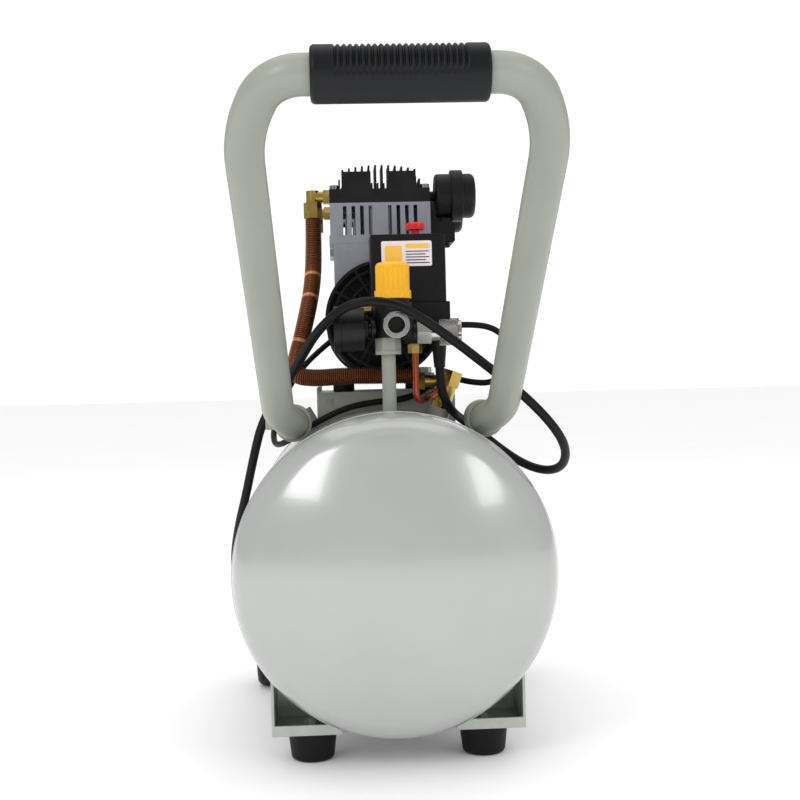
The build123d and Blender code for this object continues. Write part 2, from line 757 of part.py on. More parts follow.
# ---- regulator group -----------------------------------------------------------------
manifold_top = manifold_z + manifold_h
relief_z = 379.0
outlet_z = 365.5
outlet_r = 11.3
outlet_bore_r = 7.0
outlet_depth = 12.0
with BuildPart() as manifold:
    rod(facing_up(manifold_z, regulator_x, manifold_back), manifold_r, manifold_h - 3)
    rod(facing_up(manifold_top - 3, regulator_x, manifold_back), manifold_r - 2, 3)
    rod(facing_front(manifold_back - manifold_r, regulator_x + 1.5, outlet_z), outlet_r - 1.3, -12)
    rod(facing_right(regulator_x, manifold_back, gauge_z), 7.5, -manifold_r - 2)
    rod(facing_right(regulator_x + 8, manifold_back + 5, coupler_z + 3), 9.0, manifold_r - 5)
    rod(facing_front(manifold_back + 8, regulator_x + 2, 375), 6.0, manifold_back + 8 - switch_front)
    rod(Plane(origin=at(regulator_x, manifold_back, relief_z), z_dir=(-0.8, 0.6, 0)), 5.0, manifold_r + 2)
    hole(facing_front(manifold_back - manifold_r - 1, regulator_x + 1.5, outlet_z), outlet_bore_r, -8)
save(manifold, "manifold")

ring_front = manifold_back - manifold_r - 5
with BuildPart() as outlet_ring:
    plane = facing_front(ring_front, regulator_x + 1.5, outlet_z)
    rod(plane, outlet_r, -5, bore=outlet_bore_r)
save(outlet_ring, "front_outlet")

knob_grooves = 20
with BuildPart() as regulator_knob:
    low = manifold_top + 0.4
    rod(facing_up(low, regulator_x, manifold_back), knob_r, 7)
    rod(facing_up(low + 7, regulator_x, manifold_back), knob_r - 1.2, knob_h - 7)
    rims = regulator_knob.edges().filter_by(GeomType.CIRCLE).sort_by(Axis.Z)
    fillet(rims[-1], 4.0)
    for step in range(knob_grooves):
        turn = radians(step * 360 / knob_grooves)
        x = regulator_x + (knob_r - 0.6) * cos(turn)
        back = manifold_back + (knob_r - 0.6) * sin(turn)
        hole(facing_up(low + 7.5, x, back), 1.1, knob_h)
save(regulator_knob, "regulator_knob")

gauge_case_x = regulator_x - manifold_r - 7
gauge_depth = 27.0
with BuildPart() as pressure_gauge:
    rod(facing_right(gauge_case_x, manifold_back, gauge_z), 4.5, 5)
    hexagon(facing_right(gauge_case_x - 1, manifold_back, gauge_z), 14.0, 3.5)
    case_front = gauge_case_x - gauge_depth
    rod(facing_right(case_front, manifold_back, gauge_z), gauge_r, 6)
    rod(facing_right(case_front + 6, manifold_back, gauge_z), gauge_r - 1.5, gauge_depth - 7)
    hole(facing_right(case_front - 1, manifold_back, gauge_z), gauge_r - 2, 5)
    rod(facing_right(case_front + 1.5, manifold_back, gauge_z), 1.2 - running_gap, 3)
save(pressure_gauge, "pressure_gauge")

needle_x = case_front + 2.0
with BuildPart() as gauge_needle:
    rod(facing_right(needle_x, manifold_back, gauge_z), 2.6, 0.8)
    tail, tip, half = 6.0, 15.0, 0.9
    with BuildSketch(facing_right(needle_x, manifold_back, gauge_z)):
        with Locations(((tip - tail) / 2 * cos(radians(-45)), (tip - tail) / 2 * sin(radians(-45)))):
            Rectangle(tip + tail, 2 * half, rotation=-45)
    extrude(amount=0.8)
    hole(facing_right(needle_x - 1, manifold_back, gauge_z), 1.2, 3)
save(gauge_needle, "gauge_needle")

coupler_back = manifold_back + 5
coupler_x = regulator_x + manifold_r + 3
sleeve_len = 15.0
coupler_len = 38.0
coupler_bore_r = 5.2
with BuildPart() as outlet_coupler:
    hexagon(facing_right(coupler_x, coupler_back, coupler_z + 3), 19.0, 12)
    rod(facing_right(coupler_x + 12, coupler_back, coupler_z + 3), 8.0, coupler_len - 15)
    rod(facing_right(coupler_x + coupler_len - 3, coupler_back, coupler_z + 3), coupler_r - 1.0, 3)
    hole(facing_right(coupler_x + 10, coupler_back, coupler_z + 3), coupler_bore_r, coupler_len)
save(outlet_coupler, "outlet_coupler")

with BuildPart() as coupler_sleeve:
    sleeve_plane = facing_right(coupler_x + coupler_len - 3.3 - sleeve_len, coupler_back, coupler_z + 3)
    rod(sleeve_plane, coupler_r, sleeve_len, bore=8.0 + running_gap)
save(coupler_sleeve, "coupler_sleeve")

relief_plane = Plane(origin=at(regulator_x, manifold_back, relief_z), z_dir=(-0.8, 0.6, 0))
with BuildPart() as safety_valve:
    hexagon(relief_plane.offset(manifold_r + 2), 11.0, 6)
    rod(relief_plane.offset(manifold_r + 8), 4.4, 15)
    rod(relief_plane.offset(manifold_r + 23), 1.5, 5)
save(safety_valve, "safety_valve")

# ---- pressure switch -----------------------------------------------------------------
switch_back = switch_front + switch_depth
with BuildPart() as pressure_switch_base:
    corner = 9.0
    with BuildSketch(facing_front(switch_front)):
        with BuildLine():
            Polyline(
                (switch_x0, switch_bottom_z), (switch_x1 + 3 - corner, switch_bottom_z),
                (switch_x1 + 3, switch_bottom_z + corner), (switch_x1 + 3, switch_split_z),
                (switch_x0, switch_split_z), close=True,
            )
        make_face()
    extrude(amount=-switch_depth)
save(pressure_switch_base, "pressure_switch_base")

switch_knob_x = 28.7
switch_knob_back = 84.0
knob_stem_r = 4.0
cover_wall = 2.5
with BuildPart() as pressure_switch_cover:
    block(switch_x0, switch_x1, switch_front, switch_back, switch_split_z, switch_top_z)
    fillet(pressure_switch_cover.edges().filter_by(Axis.Z), 2.0)
    inner = cover_wall
    block(switch_x0 + inner, switch_x1 - inner, switch_front + inner, switch_back - inner,
          switch_split_z - 1, switch_top_z - inner, Mode.SUBTRACT)
    rod(facing_up(switch_top_z, switch_knob_x, switch_knob_back), 9.5, 1.5)
    hole(facing_up(switch_top_z - 5, switch_knob_x, switch_knob_back), knob_stem_r + running_gap, 10)
save(pressure_switch_cover, "pressure_switch_cover")

switch_travel = 4.0
with BuildPart() as switch_knob:
    low = switch_top_z + 1.5 + switch_travel + 0.3
    rod(facing_up(switch_top_z - 8, switch_knob_x, switch_knob_back), knob_stem_r, low - switch_top_z + 8)
    rod(facing_up(low, switch_knob_x, switch_knob_back), 8.6, 6.5)
    fillet(switch_knob.edges().filter_by(GeomType.CIRCLE).sort_by(Axis.Z)[-1], 2.5)
save(switch_knob, "switch_knob")

unloader_top = switch_bottom_z - 13
unloader_points = [
    at(unloader_x - 1.5, unloader_back, unloader_top),
    pilot_corner,
    pilot + (pilot_corner - pilot).normalized() * pilot_reach,
]
with BuildPart() as copper_tubes:
    tube_along(unloader_points, unloader_r, unloader_r - 1, [7.0])
    reach = cylinder_pitch - 2 * (elbow_r + 0.5)
    rod(facing_front(front_cyl + elbow_r + 0.5, -elbow_x, port_level), 4.0, -reach, bore=3.0)
save(copper_tubes, "copper_tubes")

with BuildPart() as unloader_valve:
    hexagon(facing_up(unloader_top, unloader_x - 1.5, unloader_back + 1), 11.0, 8)
    rod(facing_up(unloader_top + 8, unloader_x - 1.5, unloader_back + 3), 4.5, 5)
save(unloader_valve, "unloader_valve")

# ---- cords ---------------------------------------------------------------------------
gland_x, gland_back = 46.0, 67.0
gland_drop = 26.0
lead_exit_back = 92.0
lead_exit_z = 367.0
lead_exit_x = switch_x1 + 3 + 10
with BuildPart() as cord_glands:
    hexagon(facing_up(switch_bottom_z - 6, gland_x, gland_back), 15.0, 6)
    with BuildSketch(facing_up(switch_bottom_z - 6, gland_x, gland_back)):
        Circle(6.5)
    with BuildSketch(facing_up(switch_bottom_z - gland_drop, gland_x, gland_back)):
        Circle(cord_r + 0.8)
    loft()
    hexagon(facing_right(switch_x1 + 3, lead_exit_back, lead_exit_z), 12.0, 10)
save(cord_glands, "cord_glands")

cord_rest = cord_r           # height of a cord's middle when it lies on the floor
coil_x, coil_back = 30.0, 472.0
coil_mid_r = 44.0
coil_top = 4 * cord_r
tail_len = 40.0
power_cord_points = [
    at(gland_x, gland_back, switch_bottom_z - gland_drop),
    at(46.5, 66, 313),
    at(50.5, 67, 299),
    at(57, 77, 290),
    at(67, 93, 282),
    at(83, 105, 271),
    at(103, 110, 254),
    at(124, 105, 239),
    at(143, 91, 233),
    at(154, 69, 239),
    at(153, 45, 256),
    at(139, 28, 277),
    at(115, 22, 302),
    at(87, 18, 325),
    at(59, 11, 347),
    at(33, 5, 366),
    at(4, 1, 384),
    at(-32, 4, 385),
    at(-59, 25, 364),
    at(-76, 50, 338),
    at(-93, 72, 313),
    at(-112, 87, 285),
    at(-121, 95, 252),
    at(-129, 104, 219),
    at(-138, 118, 188),
    at(-144, 138, 157),
    at(-143, 158, 125),
    at(-133, 174, 92),
    at(-117, 187, 60),
    at(-96, 198, 31),
    at(-72, 209, 9),
    at(-48, 224, cord_rest),
    at(-30, 248, cord_rest),
    at(-20, 284, cord_rest),
    at(-18, 326, cord_rest),
    at(-20, 368, cord_rest),
    at(-18, 410, cord_rest),
    at(coil_x - coil_mid_r - cord_r, coil_back - 22, cord_rest),
]
with BuildPart() as power_cord:
    cord_length, cord_radii = tube_along(power_cord_points, cord_r)
save(power_cord, "power_cord")
print("power cord", round(cord_length), [round(r) for r in cord_radii])
print("volume ratio", round(power_cord.part.volume / (3.14159265 * cord_r ** 2 * cord_length), 4))

with BuildPart() as power_cord_coil:
    outer_r = coil_mid_r + 2 * cord_r
    rod(facing_up(0, coil_x, coil_back), outer_r, coil_top, bore=coil_mid_r - 2 * cord_r)
    fillet(power_cord_coil.edges().filter_by(GeomType.CIRCLE), cord_r)
save(power_cord_coil, "power_cord_coil")

plug_back = coil_back + coil_mid_r + cord_r
plug_z = 3 * cord_r
plug_neck_x = coil_x + tail_len
plug_body_x = plug_neck_x + 28
plug_len = 40.0
with BuildPart() as power_cord_tail:
    rod(facing_right(coil_x, plug_back, plug_z), cord_r, tail_len)
save(power_cord_tail, "power_cord_tail")

with BuildPart() as power_plug:
    with BuildSketch(facing_right(plug_neck_x, plug_back, plug_z)):
        Circle(cord_r + 0.8)
    with BuildSketch(facing_right(plug_body_x, plug_back, plug_z)):
        Circle(8.0)
    loft()
    with BuildSketch(facing_right(plug_body_x, plug_back, plug_z)):
        RectangleRounded(34.0, 2 * plug_z, 8.0)
    extrude(amount=plug_len)
    for side in (-1, 1):
        rod(facing_right(plug_body_x + plug_len, plug_back + side * 9.5, plug_z), 2.4, 19)
save(power_plug, "power_plug")

motor_lead_points = [
    at(lead_exit_x, lead_exit_back, lead_exit_z),
    at(84, 92, 367.5),
    at(103, 91, 361),
    at(114, 90, 344),
    at(110, 92, 326),
    at(96, 96, 314),
    at(78, 103, 315),
    at(60, 107, 320),
    at(44, 107, 316),
    at(31, 104, 307),
    at(14, 102, 301),
    at(-8, 102, 300),
    at(-36, 102, 295.5),
    at(-61, 103, 284),
    at(-80, 107, 273),
    at(-95, 121, 263),
    at(-104, 141, 261),
    at(-106, 163, 273),
    at(-101, 184, 295),
    at(-88, 203, 320),
    at(-70, 218, 343),
    at(-45.5, pump_mid, 362),
]
with BuildPart() as motor_lead:
    lead_length, lead_radii = tube_along(motor_lead_points, lead_r)
save(motor_lead, "motor_lead")
print("motor lead", round(lead_length), [round(r) for r in lead_radii])
print("volume ratio", round(motor_lead.part.volume / (3.14159265 * lead_r ** 2 * lead_length), 4))
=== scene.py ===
# Portable air compressor: a horizontal receiver, an oil-free twin-cylinder motor pump on it,
# a bent tube handle at the front end and two wheels at the rear end. Metres throughout.
import math

import bmesh
import bpy
from mathutils import Matrix, Vector
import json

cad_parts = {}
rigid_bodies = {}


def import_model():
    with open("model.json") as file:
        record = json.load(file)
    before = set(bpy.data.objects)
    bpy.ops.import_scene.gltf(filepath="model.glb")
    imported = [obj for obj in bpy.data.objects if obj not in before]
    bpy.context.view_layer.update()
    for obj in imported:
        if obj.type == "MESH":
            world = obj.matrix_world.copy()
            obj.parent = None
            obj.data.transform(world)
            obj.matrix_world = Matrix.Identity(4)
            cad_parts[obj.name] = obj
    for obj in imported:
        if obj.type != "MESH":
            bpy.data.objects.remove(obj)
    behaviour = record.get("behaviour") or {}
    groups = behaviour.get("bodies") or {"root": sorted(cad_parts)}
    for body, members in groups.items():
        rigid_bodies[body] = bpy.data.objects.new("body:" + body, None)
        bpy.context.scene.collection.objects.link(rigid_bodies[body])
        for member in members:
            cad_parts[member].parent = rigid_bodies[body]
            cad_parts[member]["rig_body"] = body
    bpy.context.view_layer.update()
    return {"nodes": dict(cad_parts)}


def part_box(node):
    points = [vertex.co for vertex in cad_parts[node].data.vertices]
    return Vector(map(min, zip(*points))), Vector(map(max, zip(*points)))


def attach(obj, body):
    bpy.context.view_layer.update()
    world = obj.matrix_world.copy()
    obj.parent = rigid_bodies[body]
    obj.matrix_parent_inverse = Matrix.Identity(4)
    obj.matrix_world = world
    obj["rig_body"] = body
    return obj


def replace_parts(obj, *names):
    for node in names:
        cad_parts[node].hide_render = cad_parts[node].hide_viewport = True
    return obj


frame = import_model()

# ---- camera and light ----------------------------------------------------------------
# The compressor is seen from its handle end, a little above the receiver's middle.
# Two tall soft boxes in front leave window-like highlights on the gloss paint.
front_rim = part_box("tank_shell")[0].y
camera_data = bpy.data.cameras.new("camera")
camera_data.sensor_width = 36.0
camera_data.lens = 56.8
camera = bpy.data.objects.new("camera", camera_data)
bpy.context.scene.collection.objects.link(camera)
eye = Vector((-0.0461, front_rim - 1.04, 0.3221))
yaw, pitch, roll = math.radians(-2.92), math.radians(90 - 1.07), math.radians(-1.45)
aim = Matrix.Rotation(yaw, 4, "Z") @ Matrix.Rotation(pitch, 4, "X") @ Matrix.Rotation(roll, 4, "Z")
camera.matrix_world = Matrix.Translation(eye) @ aim
bpy.context.scene.camera = camera
bpy.context.scene.view_settings.view_transform = "Standard"


def soft_box(name, place, target, width, height, watts):
    light = bpy.data.lights.new(name, "AREA")
    light.shape = "RECTANGLE"
    light.size = width
    light.size_y = height
    light.energy = watts
    lamp = bpy.data.objects.new(name, light)
    bpy.context.scene.collection.objects.link(lamp)
    facing = (Vector(target) - Vector(place)).to_track_quat("-Z", "Y").to_matrix().to_4x4()
    lamp.matrix_world = Matrix.Translation(place) @ facing


soft_box("key_window", (-1.5, -2.0, 1.9), (0, 0, 0.3), 0.8, 1.3, 15)
soft_box("right_window", (1.7, -1.9, 1.5), (0, 0, 0.3), 0.5, 1.0, 6)
soft_box("overhead", (0.0, 0.4, 2.6), (0, 0, 0), 2.4, 2.2, 12)
soft_box("rear_fill", (0.6, 2.6, 1.8), (0, 0, 0.3), 1.8, 1.4, 6)

# ---- room ----------------------------------------------------------------------------
# An evenly white room that lights the compressor softly from all round.
# What the paint and the metals mirror is dimmer, so that the blacks stay black.


def add_node(tree, kind, inputs=None, **settings):
    """Adds a node; an input takes a value or another node's output."""
    node = tree.nodes.new(kind)
    for name, value in settings.items():
        setattr(node, name, value)
    for name, value in (inputs or {}).items():
        if isinstance(value, bpy.types.NodeSocket):
            tree.links.new(value, node.inputs[name])
        else:
            node.inputs[name].default_value = value
    return node


lit_strength, mirrored_strength = 1.07, 0.4
world = bpy.data.worlds.new("room")
bpy.context.scene.world = world
world.use_nodes = True
room_shade = world.node_tree.nodes["Background"]
light_path = add_node(world.node_tree, "ShaderNodeLightPath")
room_power = add_node(world.node_tree, "ShaderNodeMapRange",
                      {"Value": light_path.outputs["Is Glossy Ray"],
                       "To Min": lit_strength, "To Max": mirrored_strength})
world.node_tree.links.new(room_power.outputs["Result"], room_shade.inputs["Strength"])
room_shade.inputs["Color"].default_value = (1, 1, 1, 1)

# ---- floor ---------------------------------------------------------------------------
# A plain painted studio floor, off-white and matt, so large that its edge is far away.
# The paint is rolled on: it scatters light evenly and hardly mirrors.


def hex_linear(text):
    """An sRGB hex colour as linear red, green, blue and alpha."""
    channels = [int(text[i:i + 2], 16) / 255 for i in (1, 3, 5)]
    return [c / 12.92 if c <= 0.04045 else ((c + 0.055) / 1.055) ** 2.4 for c in channels] + [1.0]


def bare_material(name, **constants):
    """A material with its Principled shader; the constants go straight on the shader."""
    material = bpy.data.materials.new(name)
    material.use_nodes = True
    tree = material.node_tree
    shader = tree.nodes["Principled BSDF"]
    for socket, value in constants.items():
        shader.inputs[socket.replace("_", " ")].default_value = value
    place = add_node(tree, "ShaderNodeTexCoord").outputs["Object"]
    return material, tree, shader, place


def grained(name, dark, light, patch_mm, grain_mm, relief_mm, rough, **constants):
    """A surface with slow colour patches, uneven gloss and a fine grain standing in relief."""
    material, tree, shader, place = bare_material(name, **constants)
    patches = add_node(tree, "ShaderNodeTexNoise",
                       {"Vector": place, "Scale": 1000 / patch_mm, "Detail": 4.0, "Roughness": 0.55})
    grain = add_node(tree, "ShaderNodeTexNoise",
                     {"Vector": place, "Scale": 1000 / grain_mm, "Detail": 2.0, "Roughness": 0.5})
    colour = add_node(tree, "ShaderNodeMix", {"Factor": patches.outputs["Fac"]}, data_type="RGBA")
    colour.inputs["A"].default_value = hex_linear(dark)
    colour.inputs["B"].default_value = hex_linear(light)
    tree.links.new(colour.outputs["Result"], shader.inputs["Base Color"])
    gloss = add_node(tree, "ShaderNodeMapRange",
                     {"Value": patches.outputs["Fac"], "From Min": 0.3, "From Max": 0.7,
                      "To Min": rough[0], "To Max": rough[1]})
    tree.links.new(gloss.outputs["Result"], shader.inputs["Roughness"])
    bump = add_node(tree, "ShaderNodeBump",
                    {"Height": grain.outputs["Fac"], "Distance": relief_mm / 1000, "Strength": 1.0})
    tree.links.new(bump.outputs["Normal"], shader.inputs["Normal"])
    return material


floor_paint = grained("rolled_white_floor_paint", "#F6F6F6", "#FAFAFA", 400, 30, 0.0, (0.8, 0.9))
bpy.ops.mesh.primitive_plane_add(size=40, location=(0, 0, -0.0002))
floor = bpy.context.object
floor.name = "studio_floor"
floor.data.materials.append(floor_paint)

# ---- receiver ------------------------------------------------------------------------
# A rolled shell and two dished heads of 2.5 mm sheet steel, welded round both rims.
# Sprayed pearl grey enamel: a clear wet gloss over a faint orange peel of about 2 mm.
tank_enamel = grained("sprayed_pearl_enamel", "#ABADAB", "#B6B8B6", 90, 2.2, 0.006, (0.18, 0.24),
                      Metallic=0.25, Coat_Weight=0.6, Coat_Roughness=0.04)


def finished_copy(node, material, bevel_mm=0.0, angle=32):
    """A merged copy of a CAD piece with soft edges, which stands for that piece."""
    source = frame["nodes"][node]
    work = bmesh.new()
    work.from_mesh(source.data)
    bmesh.ops.remove_doubles(work, verts=work.verts, dist=0.000002)
    if bevel_mm:
        bmesh.ops.dissolve_limit(work, angle_limit=math.radians(1.0), verts=work.verts, edges=work.edges)
    for face in work.faces:
        face.smooth = True
    for edge in work.edges:
        if edge.is_manifold and edge.calc_face_angle(0) > math.radians(angle):
            edge.smooth = False
    mesh = bpy.data.meshes.new(node + "_finished")
    work.to_mesh(mesh)
    work.free()
    mesh.materials.append(material)
    piece = bpy.data.objects.new(node + "_finished", mesh)
    bpy.context.scene.collection.objects.link(piece)
    if bevel_mm:
        bevel = piece.modifiers.new("soft edges", "BEVEL")
        bevel.width = bevel_mm / 1000
        bevel.segments = 2
        bevel.limit_method = "ANGLE"
        bevel.angle_limit = math.radians(angle)
        bevel.harden_normals = True
    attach(piece, source["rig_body"])
    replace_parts(piece, node)


def fixed_piece(name, shape, material):
    """A piece of one material that is fixed to the receiver, from a bmesh or a mesh."""
    mesh = shape
    if isinstance(shape, bmesh.types.BMesh):
        mesh = bpy.data.meshes.new(name)
        shape.to_mesh(mesh)
        shape.free()
    mesh.materials.clear()
    mesh.materials.append(material)
    piece = bpy.data.objects.new(name, mesh)
    bpy.context.scene.collection.objects.link(piece)
    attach(piece, "tank_unit")
    return piece


def turned(name, profile, centre, outward, around):
    """A closed enamelled body of revolution about Y, from pairs of radius and height."""
    work = bmesh.new()
    rings = []
    for radius, height in profile:
        y = centre.y + outward * height
        if radius < 1e-6:
            rings.append([work.verts.new((centre.x, y, centre.z))])
            continue
        turns = [2 * math.pi * step / around for step in range(around)]
        rings.append([work.verts.new((centre.x + radius * math.cos(turn), y, centre.z + radius * math.sin(turn)))
                      for turn in turns])
    pairs = list(zip(rings, rings[1:]))
    if len(rings[0]) > 1:
        pairs.append((rings[-1], rings[0]))
    for first, second in pairs:
        for turn in range(around):
            after = (turn + 1) % around
            if len(first) == 1:
                work.faces.new((first[0], second[after], second[turn]))
            elif len(second) == 1:
                work.faces.new((first[turn], first[after], second[0]))
            else:
                work.faces.new((first[turn], first[after], second[after], second[turn]))
    bmesh.ops.recalc_face_normals(work, faces=work.faces)
    for face in work.faces:
        face.smooth = True
    for edge in work.edges:
        if edge.calc_face_angle(0) > math.radians(32):
            edge.smooth = False
    return fixed_piece(name, work, tank_enamel)


shell_low, shell_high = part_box("tank_shell")
rim_r = (shell_high.z - shell_low.z) / 2
knuckle_r, crown_r, sheet = 0.032, 0.270, 0.0025
knuckle_steps, crown_steps = 12, 28
crown_centre = -math.sqrt((crown_r - knuckle_r) ** 2 - (rim_r - knuckle_r) ** 2)
knuckle_end = math.atan2(-crown_centre, rim_r - knuckle_r)


def head_profile(inset):
    """The head's section from its rim to its pole, inset from the outer face."""
    points = []
    for step in range(knuckle_steps + 1):
        angle = knuckle_end * step / knuckle_steps
        points.append((rim_r - knuckle_r + (knuckle_r - inset) * math.cos(angle),
                       (knuckle_r - inset) * math.sin(angle)))
    for step in range(1, crown_steps + 1):
        angle = knuckle_end + (math.pi / 2 - knuckle_end) * step / crown_steps
        points.append(((crown_r - inset) * math.cos(angle) if step < crown_steps else 0.0,
                       crown_centre + (crown_r - inset) * math.sin(angle)))
    return points


finished_copy("tank_shell", tank_enamel, angle=25)
weld_r = 0.0016
weld_turns = [2 * math.pi * step / 10 for step in range(10)]
weld_bead = [(rim_r - weld_r / 2 + weld_r * math.cos(turn), weld_r * math.sin(turn)) for turn in weld_turns]
head_section = head_profile(0.0)[::-1] + head_profile(sheet)
for end, rim, outward in (("front", shell_low.y, -1), ("rear", shell_high.y, 1)):
    centre = Vector((0, rim, (shell_low.z + shell_high.z) / 2))
    node = "tank_head_" + end
    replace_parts(turned("dished_head_" + end, head_section, centre, outward, 128), node)
    turned("rim_weld_" + end, weld_bead, centre, outward, 160)

# ---- handle and sockets --------------------------------------------------------------
# Bent steel tube held in two welded sockets, with the riser pipe and the base plate in the
# same grey-green powder coat: a soft satin gloss over a fine pebbled skin.
powder_coat = grained("grey_green_powder_coat", "#8B8F85", "#9B9F95", 60, 0.9, 0.012, (0.30, 0.40))
for node in ("handle_tube", "handle_sockets", "riser_pipe"):
    finished_copy(node, powder_coat, angle=30)
for node in ("tank_bungs", "riser_nut"):
    finished_copy(node, powder_coat, bevel_mm=0.5)
finished_copy("base_plate", powder_coat, bevel_mm=0.4)

# ---- grip ----------------------------------------------------------------------------
# A moulded rubber sleeve pushed over the crossbar, with finger ribs over its upper half
# and plain ends; satin black rubber that greys slightly where hands rub it.
grip_rubber = grained("moulded_grip_rubber", "#06070A", "#0E1014", 25, 0.7, 0.02, (0.38, 0.5),
                      Specular_IOR_Level=0.3)
grip_low, grip_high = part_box("handle_grip")
grip_mid = (grip_low + grip_high) / 2
grip_r = (grip_high.z - grip_low.z) / 2
grip_half = (grip_high.x - grip_low.x) / 2
grip_bore = 0.0136
end_round = 0.003
rib_count, rib_run, rib_depth = 22, 0.086, 0.0016
stations, around = 420, 72
turns = [2 * math.pi * step / around for step in range(around)]


def grip_radius(along, turn):
    """The ribs fade out towards the ends and towards the underside."""
    end_gap = max(0.0, end_round - (grip_half - abs(along)))
    rounding = end_round - math.sqrt(max(0.0, end_round ** 2 - end_gap ** 2))
    crest = (0.5 + 0.5 * math.cos(2 * math.pi * rib_count * along / rib_run)) ** 0.6
    upper = min(1.0, max(0.0, math.sin(turn) * 2.2 + 0.6))
    inside = min(1.0, max(0.0, (rib_run / 2 - abs(along)) / 0.002))
    return grip_r - rounding - rib_depth * upper * inside * (1 - crest)


def grip_ring(work, along, radius_at):
    return [work.verts.new((grip_mid.x + along, grip_mid.y - radius_at(along, turn) * math.cos(turn),
                            grip_mid.z + radius_at(along, turn) * math.sin(turn))) for turn in turns]


work = bmesh.new()
rings = [grip_ring(work, (step / stations - 0.5) * 2 * grip_half, grip_radius) for step in range(stations + 1)]
rings.insert(0, grip_ring(work, -grip_half, lambda along, turn: grip_bore))
rings.append(grip_ring(work, grip_half, lambda along, turn: grip_bore))
for first, second in zip(rings, rings[1:] + rings[:1]):
    for turn in range(around):
        after = (turn + 1) % around
        work.faces.new((first[turn], second[turn], second[after], first[after]))
bmesh.ops.recalc_face_normals(work, faces=work.faces)
for face in work.faces:
    face.smooth = True
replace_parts(fixed_piece("ribbed_grip", work, grip_rubber), "handle_grip")

# ---- brackets, feet and bolts --------------------------------------------------------
# Pressed zinc-plated sheet, spot welded under the receiver, with zinc-plated bolts: a cool
# grey with cloudy crystals. The feet and mounts are moulded rubber, matt black.
zinc_plate = grained("zinc_plated_sheet", "#9DA19C", "#C2C5C0", 14, 1.2, 0.008, (0.3, 0.44), Metallic=0.6)
for node in ("foot_brackets", "wheel_brackets"):
    finished_copy(node, zinc_plate, bevel_mm=0.5)
for node in ("hex_bolts", "wheel_bolts"):
    finished_copy(node, zinc_plate, bevel_mm=0.3)
foot_rubber = grained("moulded_foot_rubber", "#060608", "#0E0E10", 18, 0.8, 0.02, (0.5, 0.62),
                      Specular_IOR_Level=0.25)
for node in ("rubber_feet", "vibration_mounts"):
    finished_copy(node, foot_rubber, bevel_mm=0.8)

# ---- wheels --------------------------------------------------------------------------
# Solid rubber tyres pressed on grey polypropylene hubs, turning on shouldered bolts.
# The tyre is matt black with 48 moulded lugs round it; the hub is a dull dark grey.
hub_edge, tyre_edge = 0.0240, 0.0244
lug_count = 48.0
for side in ("left", "right"):
    low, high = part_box("wheel_" + side)
    material, tree, shader, place = bare_material("tyre_and_hub_" + side, Roughness=0.55)
    centred = add_node(tree, "ShaderNodeVectorMath", {0: place, 1: (low + high) / 2}, operation="SUBTRACT")
    parts = add_node(tree, "ShaderNodeSeparateXYZ", {"Vector": centred.outputs["Vector"]})
    level = add_node(tree, "ShaderNodeCombineXYZ", {"Y": parts.outputs["Y"], "Z": parts.outputs["Z"]})
    radius = add_node(tree, "ShaderNodeVectorMath", {0: level.outputs["Vector"]}, operation="LENGTH")
    on_tyre = add_node(tree, "ShaderNodeMapRange",
                       {"Value": radius.outputs["Value"], "From Min": hub_edge, "From Max": tyre_edge})
    colour = add_node(tree, "ShaderNodeMix", {"Factor": on_tyre.outputs["Result"]}, data_type="RGBA")
    colour.inputs["A"].default_value = hex_linear("#3B3D3F")
    colour.inputs["B"].default_value = hex_linear("#111113")
    tree.links.new(colour.outputs["Result"], shader.inputs["Base Color"])
    turn = add_node(tree, "ShaderNodeMath",
                    {0: parts.outputs["Y"], 1: parts.outputs["Z"]}, operation="ARCTAN2")
    lugs = add_node(tree, "ShaderNodeMath", {0: turn.outputs["Value"], 1: lug_count}, operation="MULTIPLY")
    lug_wave = add_node(tree, "ShaderNodeMath", {0: lugs.outputs["Value"]}, operation="SINE")
    lug_sharp = add_node(tree, "ShaderNodeMapRange",
                         {"Value": lug_wave.outputs["Value"], "From Min": -0.3, "From Max": 0.3})
    bump = add_node(tree, "ShaderNodeBump", {"Height": lug_sharp.outputs["Result"], "Distance": 0.0012})
    tree.links.new(bump.outputs["Normal"], shader.inputs["Normal"])
    finished_copy("wheel_" + side, material, bevel_mm=0.8)

# ---- motor pump ----------------------------------------------------------------------
# Crankcases and cylinder blocks are die cast aluminium, shot blasted: a pale matt grey
# with a fine pitted grain. The heads are the same casting, painted semi-gloss black.
cast_aluminium = grained("shot_blasted_cast_aluminium", "#8C8E97", "#A6A8B0", 12, 1.1, 0.05, (0.42, 0.55),
                         Metallic=0.75)
for node in ("crankcase_front", "crankcase_rear", "cylinder_block_front", "cylinder_block_rear",
             "piston_front", "piston_rear"):
    finished_copy(node, cast_aluminium, bevel_mm=0.6)
black_enamel = grained("black_enamel_on_casting", "#060608", "#0E0E12", 15, 1.0, 0.03, (0.3, 0.44),
                       Specular_IOR_Level=0.35)
for node in ("cylinder_head_front", "cylinder_head_rear", "manifold"):
    finished_copy(node, black_enamel, bevel_mm=0.5)
steel = grained("turned_steel", "#7C7E80", "#A5A7A8", 8, 0.6, 0.006, (0.25, 0.38), Metallic=1.0)
for node in ("head_screws", "rotor_shaft", "rotor_bearings"):
    finished_copy(node, steel, bevel_mm=0.3)
stack = grained("varnished_stator_laminations", "#2A2422", "#3D3532", 10, 0.8, 0.03, (0.45, 0.6), Metallic=0.5)
finished_copy("stator_core", stack)
black_nylon = grained("glass_filled_black_nylon", "#060608", "#0E0E11", 20, 0.6, 0.02, (0.4, 0.52),
                      Specular_IOR_Level=0.28)
for node in ("fan_guard_front", "fan_guard_rear", "cooling_fans"):
    finished_copy(node, black_nylon)
